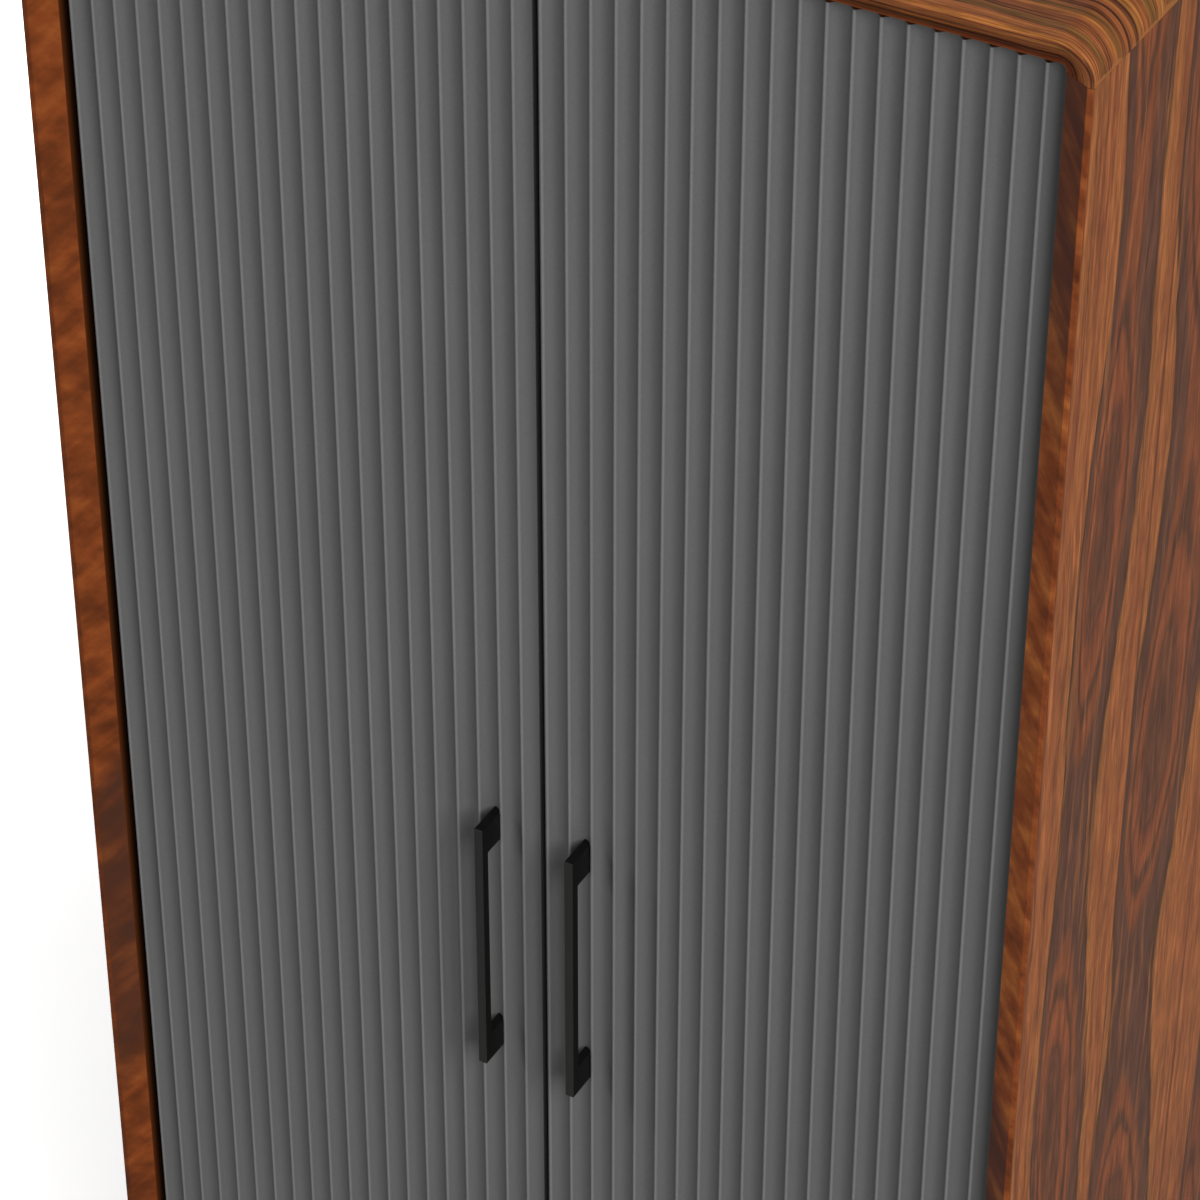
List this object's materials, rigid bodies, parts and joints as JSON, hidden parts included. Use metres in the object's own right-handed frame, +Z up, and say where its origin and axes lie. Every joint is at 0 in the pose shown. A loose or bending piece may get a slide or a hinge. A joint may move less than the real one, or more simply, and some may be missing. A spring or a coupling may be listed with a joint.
{
  "type": "two-door wardrobe",
  "caption": "Tall hardwood wardrobe with a bevelled, round-cornered frame, inset fluted painted doors on pivot hinges, slim bar handles, a hanging bay and a shelf bay.",
  "frame": {"origin": "On the floor, under the middle of the whole wardrobe, handles included.", "axes": "+Z up, the doors face -Y, +X to the right of a person who faces the doors."},
  "size_m": [0.855, 0.5698, 2],
  "materials": {
    "rosewood": "satin lacquer over reddish brown, streaked grain",
    "dark_plinth_wood": "dark stain",
    "inner_board": "plain veneer",
    "back_ply": "plain veneered ply",
    "grey_paint": "matte slate grey paint",
    "black_metal": "satin black",
    "steel": "zinc plated",
    "chrome": "polished",
    "brown_plastic": "moulded",
    "nylon": "moulded"
  },
  "bodies": {
    "carcass": {"top_panel": "rosewood", "bottom_panel": "rosewood", "left_side_panel": "rosewood", "right_side_panel": "rosewood", "back_panel": "back_ply", "centre_divider": "inner_board", "left_hat_shelf": "inner_board", "right_hat_shelf": "inner_board", "loose_shelf_1": "inner_board", "loose_shelf_2": "inner_board", "loose_shelf_3": "inner_board", "shelf_peg_1": "steel", "shelf_peg_2": "steel", "shelf_peg_3": "steel", "shelf_peg_4": "steel", "shelf_peg_5": "steel", "shelf_peg_6": "steel", "shelf_peg_7": "steel", "shelf_peg_8": "steel", "shelf_peg_9": "steel", "shelf_peg_10": "steel", "shelf_peg_11": "steel", "shelf_peg_12": "steel", "hanging_rail": "chrome", "outer_rail_socket": "chrome", "inner_rail_socket": "chrome", "plinth_front": "dark_plinth_wood", "plinth_rear": "dark_plinth_wood", "plinth_left": "dark_plinth_wood", "plinth_right": "dark_plinth_wood", "front_left_glide": "nylon", "front_middle_glide": "nylon", "front_right_glide": "nylon", "rear_left_glide": "nylon", "rear_middle_glide": "nylon", "rear_right_glide": "nylon", "left_top_pivot": "steel", "left_bottom_pivot": "steel", "right_top_pivot": "steel", "right_bottom_pivot": "steel", "left_pivot_washer": "nylon", "right_pivot_washer": "nylon", "left_catch": "brown_plastic", "right_catch": "brown_plastic"},
    "left_door": {"left_door_panel": "grey_paint", "left_top_leaf": "steel", "left_bottom_leaf": "steel", "left_handle": "black_metal", "left_lower_handle_screw": "black_metal", "left_upper_handle_screw": "black_metal", "left_strike": "steel"},
    "right_door": {"right_door_panel": "grey_paint", "right_top_leaf": "steel", "right_bottom_leaf": "steel", "right_handle": "black_metal", "right_lower_handle_screw": "black_metal", "right_upper_handle_screw": "black_metal", "right_strike": "steel"}
  },
  "joints": [
    {"name": "left_door_swing", "type": "hinge", "parent": "carcass", "child": "left_door", "pos_m": [-0.378, -0.2469, 1.045], "axis": [0, 0, -1], "range_deg": [0, 110]},
    {"name": "right_door_swing", "type": "hinge", "parent": "carcass", "child": "right_door", "pos_m": [0.378, -0.2469, 1.045], "axis": [0, 0, 1], "range_deg": [0, 110]}
  ]
}
